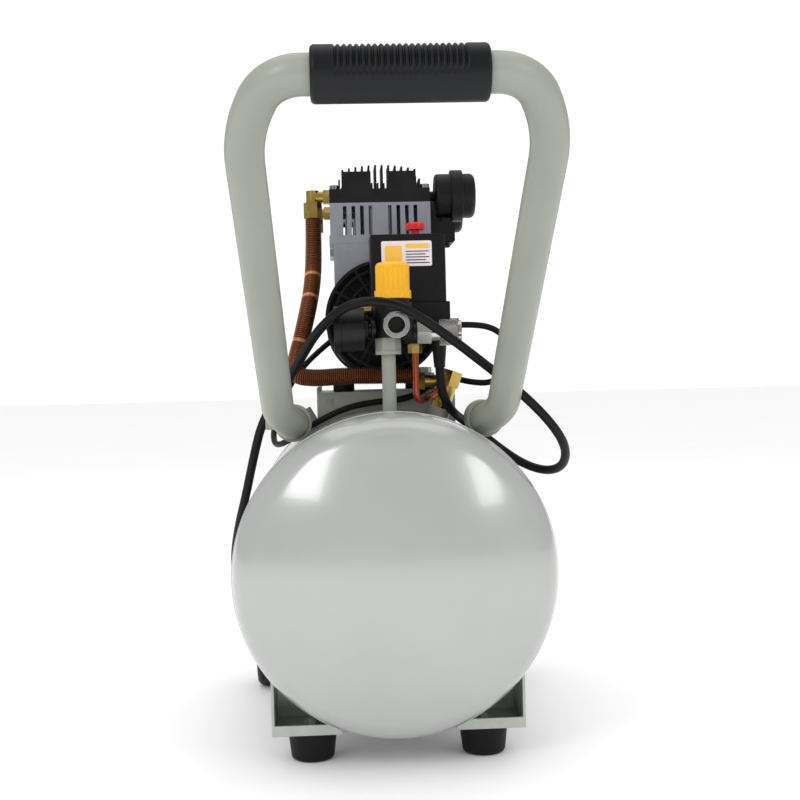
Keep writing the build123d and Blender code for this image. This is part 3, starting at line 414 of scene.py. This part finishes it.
for node in ("intake_silencer_front", "intake_silencer_rear", "capacitor_box", "cord_glands", "power_plug"):
    finished_copy(node, black_nylon, bevel_mm=0.6)

# ---- pressure switch -----------------------------------------------------------------
# Injection moulded black ABS cover on a base, with a red mushroom push-pull knob on top.
# Spark-eroded tool texture leaves a fine, even satin grain.
black_abs = grained("spark_textured_black_abs", "#07060B", "#0D0C12", 30, 0.7, 0.025, (0.36, 0.44),
                    Specular_IOR_Level=0.28)
for node in ("pressure_switch_base", "pressure_switch_cover"):
    finished_copy(node, black_abs, bevel_mm=0.9)
red_abs = grained("moulded_red_abs", "#C80000", "#E00400", 20, 1.5, 0.004, (0.22, 0.28), Coat_Weight=0.2)
finished_copy("switch_knob", red_abs, bevel_mm=0.5)
finished_copy("gauge_needle", red_abs)

# ---- regulator, gauge and outlets ----------------------------------------------------
# A ribbed knob of glossy yellow ABS, a black painted steel gauge case, and a nickel-plated
# outlet ring and coupler, screwed into the manifold; the plating is bright and warm.
yellow_abs = grained("moulded_yellow_abs", "#E9A608", "#F6B80F", 14, 1.2, 0.004, (0.25, 0.33), Coat_Weight=0.15)
finished_copy("regulator_knob", yellow_abs, bevel_mm=0.25)
finished_copy("pressure_gauge", black_enamel, bevel_mm=0.6)
nickel = grained("nickel_plated_brass", "#B9B7B2", "#CFCDC9", 8, 0.9, 0.004, (0.12, 0.2), Metallic=1.0)
for node in ("front_outlet", "outlet_coupler"):
    finished_copy(node, nickel, bevel_mm=0.4)

# ---- coupler sleeve ------------------------------------------------------------------
# A nickel-plated sleeve that slides back on the coupler against a spring, knurled by two
# crossing sets of forty rolled grooves, so that it glitters in small diamonds.
groove_count = 40.0
groove_lead = 0.0018
knurl, tree, shader, place = bare_material("knurled_nickel", Metallic=1.0, Roughness=0.22)
shader.inputs["Base Color"].default_value = hex_linear("#C4C2BE")
low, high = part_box("coupler_sleeve")
centred = add_node(tree, "ShaderNodeVectorMath", {0: place, 1: (low + high) / 2}, operation="SUBTRACT")
parts = add_node(tree, "ShaderNodeSeparateXYZ", {"Vector": centred.outputs["Vector"]})
turn = add_node(tree, "ShaderNodeMath", {0: parts.outputs["Y"], 1: parts.outputs["Z"]}, operation="ARCTAN2")
grooves = []
for hand in (-1, 1):
    lean = add_node(tree, "ShaderNodeMath",
                    {0: parts.outputs["X"], 1: hand * 2 * math.pi / groove_lead}, operation="MULTIPLY")
    phase = add_node(tree, "ShaderNodeMath",
                     {0: turn.outputs["Value"], 1: groove_count, 2: lean.outputs["Value"]},
                     operation="MULTIPLY_ADD")
    wave = add_node(tree, "ShaderNodeMath", {0: phase.outputs["Value"]}, operation="SINE")
    grooves.append(add_node(tree, "ShaderNodeMath", {0: wave.outputs["Value"]}, operation="ABSOLUTE"))
diamonds = add_node(tree, "ShaderNodeMath",
                    {0: grooves[0].outputs["Value"], 1: grooves[1].outputs["Value"]}, operation="MINIMUM")
bump = add_node(tree, "ShaderNodeBump", {"Height": diamonds.outputs["Value"], "Distance": 0.0006})
tree.links.new(bump.outputs["Normal"], shader.inputs["Normal"])
finished_copy("coupler_sleeve", knurl, bevel_mm=0.3)

# ---- brass and copper pipework -------------------------------------------------------
# Turned and forged brass fittings, slightly tarnished, and soft drawn copper tube, held by
# compression nuts; the brass is a dull gold, the copper a brighter pink.
brass = grained("forged_brass", "#A88C46", "#D0B768", 9, 0.9, 0.01, (0.2, 0.34), Metallic=1.0)
for node in ("discharge_fittings", "check_valve", "drain_valve", "drain_knob", "safety_valve",
             "unloader_valve"):
    finished_copy(node, brass, bevel_mm=0.4)
copper = grained("drawn_copper_tube", "#9C4A34", "#C96A50", 12, 1.0, 0.006, (0.2, 0.32), Metallic=1.0)
finished_copy("copper_tubes", copper)

# ---- discharge hose ------------------------------------------------------------------
# A stainless bellows hose in a brown heat sleeve, crimped into brass ends: fine ribs all
# along it, whose crests are painted lighter as a painted highlight, and three lighter bands painted round it.
rib_pitch = 0.0018
steps_per_rib = 6.0
band_places = (0.058, 0.082, 0.128)


def at(x, back, z):
    """A point given in millimetres across, behind the receiver's front rim, and up."""
    return Vector((x / 1000, front_rim + back / 1000, z / 1000))


def smooth_run(name, points):
    """One smooth open curve with the points as its control points."""
    curve = bpy.data.curves.new(name, "CURVE")
    curve.dimensions = "3D"
    spline = curve.splines.new("NURBS")
    spline.points.add(len(points) - 1)
    for knot, point in zip(spline.points, points):
        knot.co = (*point, 1.0)
    spline.order_u = 3
    spline.use_endpoint_u = True
    run = bpy.data.objects.new(name, curve)
    bpy.context.scene.collection.objects.link(run)
    return run


hose_sleeve, tree, shader, place = bare_material("brown_bellows_with_painted_crest_highlights", Metallic=0.7, Roughness=0.34)
# The rib crests are painted a lighter copper than the valleys: a painted highlight on every rib.
crest = add_node(tree, "ShaderNodeAttribute", attribute_name="crest")
colour = add_node(tree, "ShaderNodeMix", {"Factor": crest.outputs["Fac"]}, data_type="RGBA")
colour.inputs["A"].default_value = hex_linear("#2A130C")
colour.inputs["B"].default_value = hex_linear("#8F5630")
# Three narrow bands along the hose are painted a lighter copper.
band_mark = add_node(tree, "ShaderNodeAttribute", attribute_name="band_mark")
bright = add_node(tree, "ShaderNodeMix",
                  {"Factor": band_mark.outputs["Fac"], "A": colour.outputs["Result"]}, data_type="RGBA")
bright.inputs["B"].default_value = hex_linear("#D9A070")
tree.links.new(bright.outputs["Result"], shader.inputs["Base Color"])

tree = bpy.data.node_groups.new("bellows_hose", "GeometryNodeTree")
tree.interface.new_socket("Geometry", in_out="INPUT", socket_type="NodeSocketGeometry")
hose_sizes = {"Outer radius": 0.0079, "Rib depth": 0.0011, "Rib pitch": rib_pitch}
for mark, distance in enumerate(band_places):
    hose_sizes[f"Rubbed ring {mark}"] = distance
for name, size in hose_sizes.items():
    socket = tree.interface.new_socket(name, in_out="INPUT", socket_type="NodeSocketFloat")
    socket.default_value = size
tree.interface.new_socket("Geometry", in_out="OUTPUT", socket_type="NodeSocketGeometry")
given = add_node(tree, "NodeGroupInput").outputs
step_length = add_node(tree, "ShaderNodeMath", {0: given["Rib pitch"], 1: steps_per_rib}, operation="DIVIDE")
line = add_node(tree, "GeometryNodeResampleCurve",
                {"Curve": given["Geometry"], "Length": step_length.outputs["Value"]}, mode="LENGTH")
along = add_node(tree, "GeometryNodeSplineParameter")
ribs = add_node(tree, "ShaderNodeMath", {0: along.outputs["Length"], 1: given["Rib pitch"]}, operation="DIVIDE")
phase = add_node(tree, "ShaderNodeMath", {0: ribs.outputs["Value"], 1: 2 * math.pi}, operation="MULTIPLY")
wave = add_node(tree, "ShaderNodeMath", {0: phase.outputs["Value"]}, operation="COSINE")
rise = add_node(tree, "ShaderNodeMath", {0: wave.outputs["Value"], 1: 0.5, 2: 0.5}, operation="MULTIPLY_ADD")
# The rib height is stored as the crest attribute, which paints the highlight on the crests.
crest_highlight_mask = add_node(tree, "GeometryNodeStoreNamedAttribute",
                  {"Geometry": line.outputs["Curve"], "Name": "crest", "Value": rise.outputs["Value"]},
                  data_type="FLOAT", domain="POINT")
nearest = None
for mark in range(len(band_places)):
    away = add_node(tree, "ShaderNodeMath",
                    {0: along.outputs["Length"], 1: given[f"Rubbed ring {mark}"]}, operation="SUBTRACT")
    far = add_node(tree, "ShaderNodeMath", {0: away.outputs["Value"]}, operation="ABSOLUTE")
    if nearest:
        far = add_node(tree, "ShaderNodeMath",
                       {0: far.outputs["Value"], 1: nearest.outputs["Value"]}, operation="MINIMUM")
    nearest = far
# Near each band place the lighter copper is laid on, fading out over about a millimetre.
band_lightness = add_node(tree, "ShaderNodeMapRange",
                      {"Value": nearest.outputs["Value"], "From Min": 0.0010, "From Max": 0.0022,
                       "To Min": 0.9, "To Max": 0.0})
marked = add_node(tree, "GeometryNodeStoreNamedAttribute",
                  {"Geometry": crest_highlight_mask.outputs["Geometry"], "Name": "band_mark",
                   "Value": band_lightness.outputs["Result"]}, data_type="FLOAT", domain="POINT")
valley = add_node(tree, "ShaderNodeMath", {0: given["Outer radius"], 1: given["Rib depth"]},
                  operation="SUBTRACT")
radius = add_node(tree, "ShaderNodeMath",
                  {0: rise.outputs["Value"], 1: given["Rib depth"], 2: valley.outputs["Value"]},
                  operation="MULTIPLY_ADD")
section = add_node(tree, "GeometryNodeCurvePrimitiveCircle", {"Resolution": 28, "Radius": 1.0})
tube = add_node(tree, "GeometryNodeCurveToMesh",
                {"Curve": marked.outputs["Geometry"], "Profile Curve": section.outputs["Curve"],
                 "Scale": radius.outputs["Value"], "Fill Caps": True})
real = add_node(tree, "GeometryNodeRealizeInstances", {"Geometry": tube.outputs["Mesh"]})
dressed = add_node(tree, "GeometryNodeSetMaterial",
                   {"Geometry": real.outputs["Geometry"], "Material": hose_sleeve})
add_node(tree, "NodeGroupOutput", {"Geometry": dressed.outputs["Geometry"]})

hose_line = smooth_run("hose_line", [
    at(-63, 165, 474),
    at(-63, 165, 442),
    at(-65, 146, 407),
    at(-73, 126, 370),
    at(-80, 121, 345),
    at(-84, 106, 325),
    at(-63, 99, 322),
    at(-38, 93, 324),
    at(-10, 90, 323),
    at(24, 90, 323),
])
hose_line.modifiers.new("bellows", "NODES").node_group = tree
hose_shape = hose_line.evaluated_get(bpy.context.evaluated_depsgraph_get())
hose_mesh = bpy.data.meshes.new_from_object(hose_shape)
bpy.data.objects.remove(hose_line)
for face in hose_mesh.polygons:
    face.use_smooth = True
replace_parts(fixed_piece("bellows_hose", hose_mesh, hose_sleeve), "discharge_hose")

# ---- gauge dial ----------------------------------------------------------------------
# A white enamelled dial pressed into the case behind a flat clear acrylic lens, printed
# with a black scale: fifty ticks and plain numbers round three quarters of the face.
dial_white = grained("white_dial_enamel", "#E8E8E4", "#F1F1EE", 10, 1.0, 0.002, (0.35, 0.45))
dial_print = grained("black_dial_print", "#101012", "#18181A", 5, 1.0, 0.001, (0.45, 0.55))
needle_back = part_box("gauge_needle")[1].x
case_low, case_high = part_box("pressure_gauge")
dial_r = (case_high.z - case_low.z) / 2 - 0.0022
dial_x = needle_back + 0.0007
dial_y = (case_low.y + case_high.y) / 2
dial_z = (case_low.z + case_high.z) / 2
scale_start, scale_sweep = 225, 270
tick_count, top_number = 50, 10


def flat_disc(name, x, radius, thickness, material):
    """A round plate that faces the gauge's open side."""
    work = bmesh.new()
    place = Matrix.Translation((x, dial_y, dial_z)) @ Matrix.Rotation(math.radians(-90), 4, "Y")
    bmesh.ops.create_cone(work, cap_ends=True, segments=64, radius1=radius, radius2=radius,
                          depth=thickness, matrix=place)
    fixed_piece(name, work, material)


def on_dial(share, reach, proud):
    """A place on the dial at a share of the scale, and its angle."""
    angle = math.radians(scale_start - scale_sweep * share)
    spot = (dial_x - proud, dial_y - reach * math.cos(angle), dial_z + reach * math.sin(angle))
    return Matrix.Translation(spot), angle


flat_disc("gauge_dial", dial_x, dial_r, 0.0004, dial_white)
work = bmesh.new()
for tick in range(tick_count + 1):
    length, width = (0.0018, 0.0003) if tick % 5 else (0.0032, 0.0006)
    spot, angle = on_dial(tick / tick_count, dial_r - 0.0012 - length / 2, 0.00025)
    size = Matrix.Diagonal((0.0002, length, width, 1))
    bmesh.ops.create_cube(work, size=1.0, matrix=spot @ Matrix.Rotation(angle, 4, "X") @ size)
fixed_piece("gauge_scale", work, dial_print)

lens, tree, shader, place = bare_material("polished_acrylic_lens", Roughness=0.03, IOR=1.49,
                                          Transmission_Weight=1.0)
lens_cloud = add_node(tree, "ShaderNodeTexNoise", {"Vector": place, "Scale": 400.0})
lens_tint = add_node(tree, "ShaderNodeMix", {"Factor": lens_cloud.outputs["Fac"]}, data_type="RGBA")
lens_tint.inputs["A"].default_value = hex_linear("#F7FBFA")
lens_tint.inputs["B"].default_value = hex_linear("#FFFFFF")
tree.links.new(lens_tint.outputs["Result"], shader.inputs["Base Color"])
flat_disc("gauge_lens", case_low.x + 0.0007, dial_r + 0.0001, 0.0008, lens)

upright = Matrix.Rotation(math.radians(-90), 4, "Z") @ Matrix.Rotation(math.radians(90), 4, "X")
for number in range(0, top_number + 1, 2):
    curve = bpy.data.curves.new("dial_number", "FONT")
    curve.body = str(number)
    curve.size = 0.0045
    curve.extrude = 0.0001
    curve.align_x, curve.align_y = "CENTER", "CENTER"
    source = bpy.data.objects.new("dial_number", curve)
    bpy.context.scene.collection.objects.link(source)
    mesh = bpy.data.meshes.new_from_object(source)
    bpy.data.objects.remove(source)
    mesh.transform(on_dial(number / top_number, dial_r - 0.0072, 0.0003)[0] @ upright)
    fixed_piece(f"dial_number_{number}", mesh, dial_print)

# ---- rating plate on the switch cover ------------------------------------------------
# A thin printed aluminium plate glued to the cover's front, satin varnished; its print is
# plain colour fields and grey rules, with no words or signs.
plate_white = grained("printed_plate_white", "#D6CCD4", "#E2DAE0", 12, 1.0, 0.002, (0.3, 0.4))
plate_yellow = grained("printed_plate_yellow", "#E3B23E", "#EDBE4C", 12, 1.0, 0.001, (0.3, 0.4))
plate_grey = grained("printed_plate_grey", "#77747C", "#86838B", 12, 1.0, 0.001, (0.35, 0.45))
cover_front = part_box("pressure_switch_cover")[0].y
plate_sunk = 0.0001


def plate_field(name, x0, x1, z0, z1, proud, material):
    """A flat printed field with round corners, in millimetres, proud of the cover."""
    low = Vector((x0 / 1000, cover_front - proud / 1000, z0 / 1000))
    high = Vector((x1 / 1000, cover_front + plate_sunk, z1 / 1000))
    size = Matrix.Diagonal((*(high - low), 1))
    work = bmesh.new()
    bmesh.ops.create_cube(work, size=1.0, matrix=Matrix.Translation((low + high) / 2) @ size)
    corners = [e for e in work.edges if abs(e.verts[0].co.y - e.verts[1].co.y) > plate_sunk]
    bmesh.ops.bevel(work, geom=corners, offset=0.0008, segments=3, affect="EDGES")
    fixed_piece(name, work, material)


plate_field("rating_plate", -3, 41, 418, 440, 0.4, plate_white)
plate_field("rating_plate_square", 0, 15, 420, 436, 0.5, plate_yellow)
plate_field("rating_plate_banner", 18, 39, 433.5, 437.5, 0.5, plate_yellow)
for row in range(5):
    rule_low, rule_end = 420.4 + 2.5 * row, 39 - 3 * (row % 2)
    plate_field(f"rating_plate_rule_{row}", 18, rule_end, rule_low, rule_low + 0.9, 0.5, plate_grey)

# ---- mains cord ----------------------------------------------------------------------
# A black rubber cord, extruded round and satin, held by a gland under the switch. It loops
# out to the right, over the regulator and down on the left to a neat coil behind.
cord_rubber = grained("extruded_cord_rubber", "#050506", "#0C0C0E", 30, 0.8, 0.01, (0.36, 0.46),
                      Specular_IOR_Level=0.25)
cord_r = 0.004
coil_x, coil_back = 30, 472
coil_turns, steps_per_turn = 3.25, 16
outer_turn, inner_turn = 48, 40
low_turn, high_turn = 4, 12


def cord_curve(name, points, radius):
    cord = smooth_run(name, points)
    cord.data.resolution_u = 8
    cord.data.bevel_depth = radius
    cord.data.bevel_resolution = 6
    cord.data.use_fill_caps = True
    cord.data.materials.append(cord_rubber)
    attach(cord, "tank_unit")
    return cord


def eased(value, start, end):
    share = min(1.0, max(0.0, (value - start) / (end - start)))
    return share * share * (3 - 2 * share)


power_cord_points = [
    at(46, 67, 329),
    at(46.5, 66, 313),
    at(50.5, 67, 299),
    at(57, 77, 290),
    at(67, 93, 282),
    at(83, 105, 271),
    at(103, 110, 254),
    at(124, 105, 239),
    at(143, 91, 233),
    at(154, 69, 239),
    at(153, 45, 256),
    at(139, 28, 277),
    at(115, 22, 302),
    at(87, 18, 325),
    at(59, 11, 347),
    at(33, 5, 366),
    at(4, 1, 384),
    at(-32, 4, 385),
    at(-59, 25, 364),
    at(-76, 50, 338),
    at(-93, 72, 313),
    at(-112, 87, 285),
    at(-121, 95, 252),
    at(-129, 104, 219),
    at(-138, 118, 188),
    at(-144, 138, 157),
    at(-143, 158, 125),
    at(-133, 174, 92),
    at(-117, 187, 60),
    at(-96, 198, 31),
    at(-72, 209, 9),
    at(-48, 224, 4),
    at(-30, 248, 4),
    at(-20, 284, 4),
    at(-18, 326, 4),
    at(-20, 368, 4),
    at(-18, 410, 4),
    at(-18, 450, 4),
]
# The coil: one turn outside, two inside it, then back out on top of the first.
widen = 1 / math.cos(math.pi / steps_per_turn)
for step in range(int(coil_turns * steps_per_turn) + 1):
    turn = step / steps_per_turn
    inward = eased(turn, 0.85, 1.1) - eased(turn, 2.85, 3.1)
    across = widen * (outer_turn - (outer_turn - inner_turn) * inward)
    height = low_turn + (high_turn - low_turn) * eased(turn, 1.8, 2.1)
    angle = math.pi - 2 * math.pi * turn
    power_cord_points.append(at(coil_x + across * math.cos(angle), coil_back + across * math.sin(angle), height))
power_cord_points += [at(50, 520, high_turn), at(70, 520, high_turn)]
power_cord = cord_curve("power_cord_run", power_cord_points, cord_r)
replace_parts(power_cord, "power_cord", "power_cord_coil", "power_cord_tail")

# ---- motor lead ----------------------------------------------------------------------
# A thinner cord of the same rubber, from the gland on the switch's right side to the
# stator: it hangs in front of the pump and goes up on the left.
lead_r = 0.0028
motor_lead_points = [
    at(66, 92, 367),
    at(84, 92, 367.5),
    at(103, 91, 361),
    at(114, 90, 344),
    at(110, 92, 326),
    at(96, 96, 314),
    at(78, 103, 315),
    at(60, 107, 320),
    at(44, 107, 316),
    at(31, 104, 307),
    at(14, 102, 301),
    at(-8, 102, 300),
    at(-36, 102, 295.5),
    at(-61, 103, 284),
    at(-80, 107, 273),
    at(-95, 121, 263),
    at(-104, 141, 261),
    at(-106, 163, 273),
    at(-101, 184, 295),
    at(-88, 203, 320),
    at(-70, 218, 343),
    at(-45.5, 225, 362),
]
motor_lead = cord_curve("motor_lead_run", motor_lead_points, lead_r)
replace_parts(motor_lead, "motor_lead")
